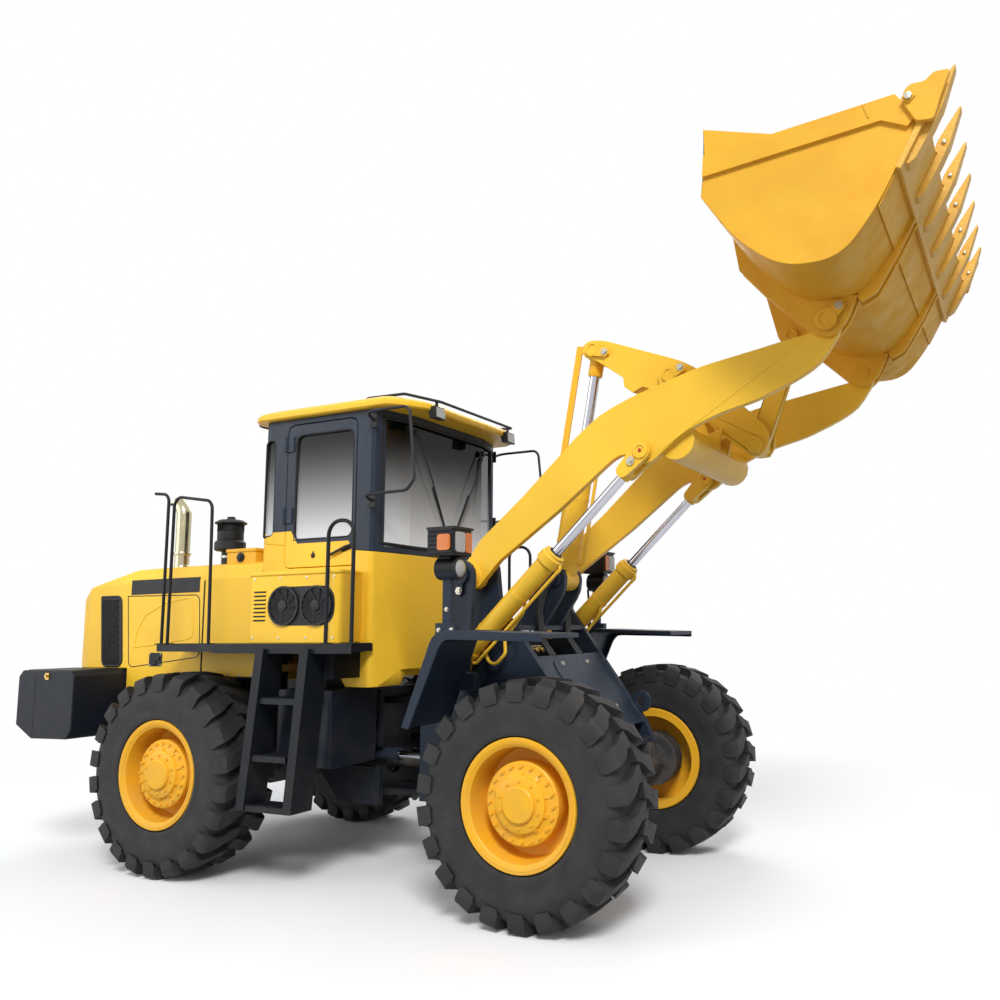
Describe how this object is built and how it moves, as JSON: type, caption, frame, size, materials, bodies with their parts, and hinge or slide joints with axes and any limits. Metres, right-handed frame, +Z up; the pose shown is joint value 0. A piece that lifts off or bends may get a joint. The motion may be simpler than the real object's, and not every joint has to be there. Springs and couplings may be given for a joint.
{
  "type": "articulated wheel loader",
  "caption": "Articulated wheel loader with raised Z-bar arms, toothed bucket, glazed cab, opening doors, steering hinge, rolling wheels and moving hydraulic cylinders.",
  "frame": {"origin": "on the ground, under the middle of the machine's overall length and width", "axes": "+X forward towards the bucket, +Y to the machine's left, +Z up"},
  "size_m": [6.6972, 2.47, 4.2266],
  "materials": {
    "yellow_paint": "glossy chrome-yellow paint",
    "orange_paint": "satin orange-yellow paint",
    "slate_paint": "semi-gloss dark slate paint",
    "black_plastic": "matt black",
    "tyre_rubber": "matt black rubber",
    "rod_chrome": "polished",
    "dark_iron": "dark painted casting",
    "tinted_glass": "smoke-grey tint"
  },
  "bodies": {
    "rear_chassis": {"rear_frame": "slate_paint", "counterweight": "slate_paint", "rear_axle": "dark_iron", "engine_block": "dark_iron", "transmission": "dark_iron", "engine_hood": "yellow_paint", "radiator_grille": "black_plastic", "cowl": "yellow_paint", "exhaust_pipe": "rod_chrome", "air_precleaner": "black_plastic", "cab_base": "yellow_paint", "cab_frame": "slate_paint", "windscreen": "tinted_glass", "rear_window": "tinted_glass", "right_quarter_window": "tinted_glass", "left_quarter_window": "tinted_glass", "cab_roof": "yellow_paint", "operator_seat": "black_plastic", "steering_column": "black_plastic", "condenser_box": "yellow_paint", "right_platform": "slate_paint", "left_platform": "slate_paint"},
    "right_door": {"right_door": "slate_paint", "right_door_glass": "tinted_glass"},
    "left_door": {"left_door": "slate_paint", "left_door_glass": "tinted_glass"},
    "front_chassis": {"front_frame": "slate_paint", "front_axle": "dark_iron", "right_front_fender": "slate_paint", "left_front_fender": "slate_paint"},
    "front_left_wheel": {"front_left_tyre": "tyre_rubber", "front_left_rim": "orange_paint"},
    "front_right_wheel": {"front_right_tyre": "tyre_rubber", "front_right_rim": "orange_paint"},
    "rear_left_wheel": {"rear_left_tyre": "tyre_rubber", "rear_left_rim": "orange_paint"},
    "rear_right_wheel": {"rear_right_tyre": "tyre_rubber", "rear_right_rim": "orange_paint"},
    "lift_arms": {"lift_arms": "yellow_paint"},
    "bellcrank": {"bellcrank": "yellow_paint"},
    "tilt_link": {"tilt_link": "yellow_paint"},
    "bucket": {"bucket": "yellow_paint", "cutting_edge": "orange_paint"},
    "left_lift_barrel": {"left_lift_barrel": "yellow_paint"},
    "left_lift_rod": {"left_lift_rod": "rod_chrome"},
    "right_lift_barrel": {"right_lift_barrel": "yellow_paint"},
    "right_lift_rod": {"right_lift_rod": "rod_chrome"},
    "tilt_barrel": {"tilt_barrel": "yellow_paint"},
    "tilt_rod": {"tilt_rod": "rod_chrome"},
    "left_steering_barrel": {"left_steering_barrel": "slate_paint"},
    "left_steering_rod": {"left_steering_rod": "rod_chrome"},
    "right_steering_barrel": {"right_steering_barrel": "slate_paint"},
    "right_steering_rod": {"right_steering_rod": "rod_chrome"}
  },
  "joints": [
    {"name": "articulation", "type": "hinge", "parent": "rear_chassis", "child": "front_chassis", "pos_m": [-0.43862, 0, 0.79], "axis": [0, 0, 1], "range_deg": [-35, 35]},
    {"name": "front_left_wheel_spin", "type": "hinge", "parent": "front_chassis", "child": "front_left_wheel", "pos_m": [0.94638, 0.965, 0.665], "axis": [0, 1, 0], "continuous": true},
    {"name": "front_right_wheel_spin", "type": "hinge", "parent": "front_chassis", "child": "front_right_wheel", "pos_m": [0.94638, -0.965, 0.665], "axis": [0, 1, 0], "continuous": true},
    {"name": "rear_left_wheel_spin", "type": "hinge", "parent": "rear_chassis", "child": "rear_left_wheel", "pos_m": [-1.82362, 0.965, 0.665], "axis": [0, 1, 0], "continuous": true},
    {"name": "rear_right_wheel_spin", "type": "hinge", "parent": "rear_chassis", "child": "rear_right_wheel", "pos_m": [-1.82362, -0.965, 0.665], "axis": [0, 1, 0], "continuous": true},
    {"name": "right_door_hinge", "type": "hinge", "parent": "rear_chassis", "child": "right_door", "pos_m": [-1.16862, -0.764, 2.5], "axis": [0, 0, -1], "range_deg": [0, 90]},
    {"name": "left_door_hinge", "type": "hinge", "parent": "rear_chassis", "child": "left_door", "pos_m": [-1.16862, 0.764, 2.3], "axis": [0, 0, 1], "range_deg": [0, 90]},
    {"name": "lift", "type": "hinge", "parent": "front_chassis", "child": "lift_arms", "pos_m": [0.26138, 0, 1.94], "axis": [0, -1, 0], "range_deg": [-67.5, 11.5]},
    {"name": "bucket_tilt", "type": "hinge", "parent": "lift_arms", "child": "bucket", "pos_m": [2.59138, 0, 3.26], "axis": [0, 1, 0], "range_deg": [-7, 110]},
    {"name": "bellcrank_pivot", "type": "hinge", "parent": "lift_arms", "child": "bellcrank", "pos_m": [1.47138, 0, 3.23], "axis": [0, -1, 0], "range_deg": [-3, 38]},
    {"name": "tilt_link_pivot", "type": "hinge", "parent": "bucket", "child": "tilt_link", "pos_m": [2.27138, 0, 3.38], "axis": [0, -1, 0], "range_deg": [-5, 74]},
    {"name": "left_lift_barrel_pivot", "type": "hinge", "parent": "front_chassis", "child": "left_lift_barrel", "pos_m": [0.16138, 0.585, 1.375], "axis": [0, -1, 0], "range_deg": [-57, 10]},
    {"name": "left_lift_rod_slide", "type": "slide", "parent": "left_lift_barrel", "child": "left_lift_rod", "axis": [0.7234, 0, 0.6905], "range_m": [-0.56, 0.1]},
    {"name": "right_lift_barrel_pivot", "type": "hinge", "parent": "front_chassis", "child": "right_lift_barrel", "pos_m": [0.16138, -0.585, 1.375], "axis": [0, -1, 0], "range_deg": [-57, 10]},
    {"name": "right_lift_rod_slide", "type": "slide", "parent": "right_lift_barrel", "child": "right_lift_rod", "axis": [0.7234, 0, 0.6905], "range_m": [-0.56, 0.1]},
    {"name": "tilt_barrel_pivot", "type": "hinge", "parent": "front_chassis", "child": "tilt_barrel", "pos_m": [0.63138, 0, 1.93], "axis": [0, -1, 0], "range_deg": [-81, 14]},
    {"name": "tilt_rod_slide", "type": "slide", "parent": "tilt_barrel", "child": "tilt_rod", "axis": [0.177, 0, 0.9842], "range_m": [-0.39, 0.03]},
    {"name": "left_steering_barrel_pivot", "type": "hinge", "parent": "rear_chassis", "child": "left_steering_barrel", "pos_m": [-0.99862, 0.3, 0.76], "axis": [0, 0, 1], "range_deg": [-11.5, 11.5]},
    {"name": "left_steering_rod_slide", "type": "slide", "parent": "left_steering_barrel", "child": "left_steering_rod", "axis": [0.9993, 0.037, 0], "range_m": [-0.2, 0.2]},
    {"name": "right_steering_barrel_pivot", "type": "hinge", "parent": "rear_chassis", "child": "right_steering_barrel", "pos_m": [-0.99862, -0.3, 0.76], "axis": [0, 0, 1], "range_deg": [-11.5, 11.5]},
    {"name": "right_steering_rod_slide", "type": "slide", "parent": "right_steering_barrel", "child": "right_steering_rod", "axis": [0.9993, -0.037, 0], "range_m": [-0.2, 0.2]}
  ],
  "couplings": [
    {"joint": "bellcrank_pivot", "follows": "bucket_tilt", "ratio": 0.333},
    {"joint": "tilt_link_pivot", "follows": "bucket_tilt", "ratio": 0.664},
    {"joint": "left_lift_barrel_pivot", "follows": "lift", "ratio": 0.825},
    {"joint": "right_lift_barrel_pivot", "follows": "lift", "ratio": 0.825},
    {"joint": "left_lift_rod_slide", "follows": "lift", "m_per_rad": 0.47},
    {"joint": "right_lift_rod_slide", "follows": "lift", "m_per_rad": 0.47},
    {"joint": "tilt_barrel_pivot", "follows": "lift", "ratio": 1.19},
    {"joint": "tilt_rod_slide", "follows": "bucket_tilt", "m_per_rad": -0.1985},
    {"joint": "left_steering_barrel_pivot", "follows": "articulation", "ratio": 0.306},
    {"joint": "right_steering_barrel_pivot", "follows": "articulation", "ratio": 0.306},
    {"joint": "left_steering_rod_slide", "follows": "articulation", "m_per_rad": -0.3136},
    {"joint": "right_steering_rod_slide", "follows": "articulation", "m_per_rad": 0.3136}
  ]
}
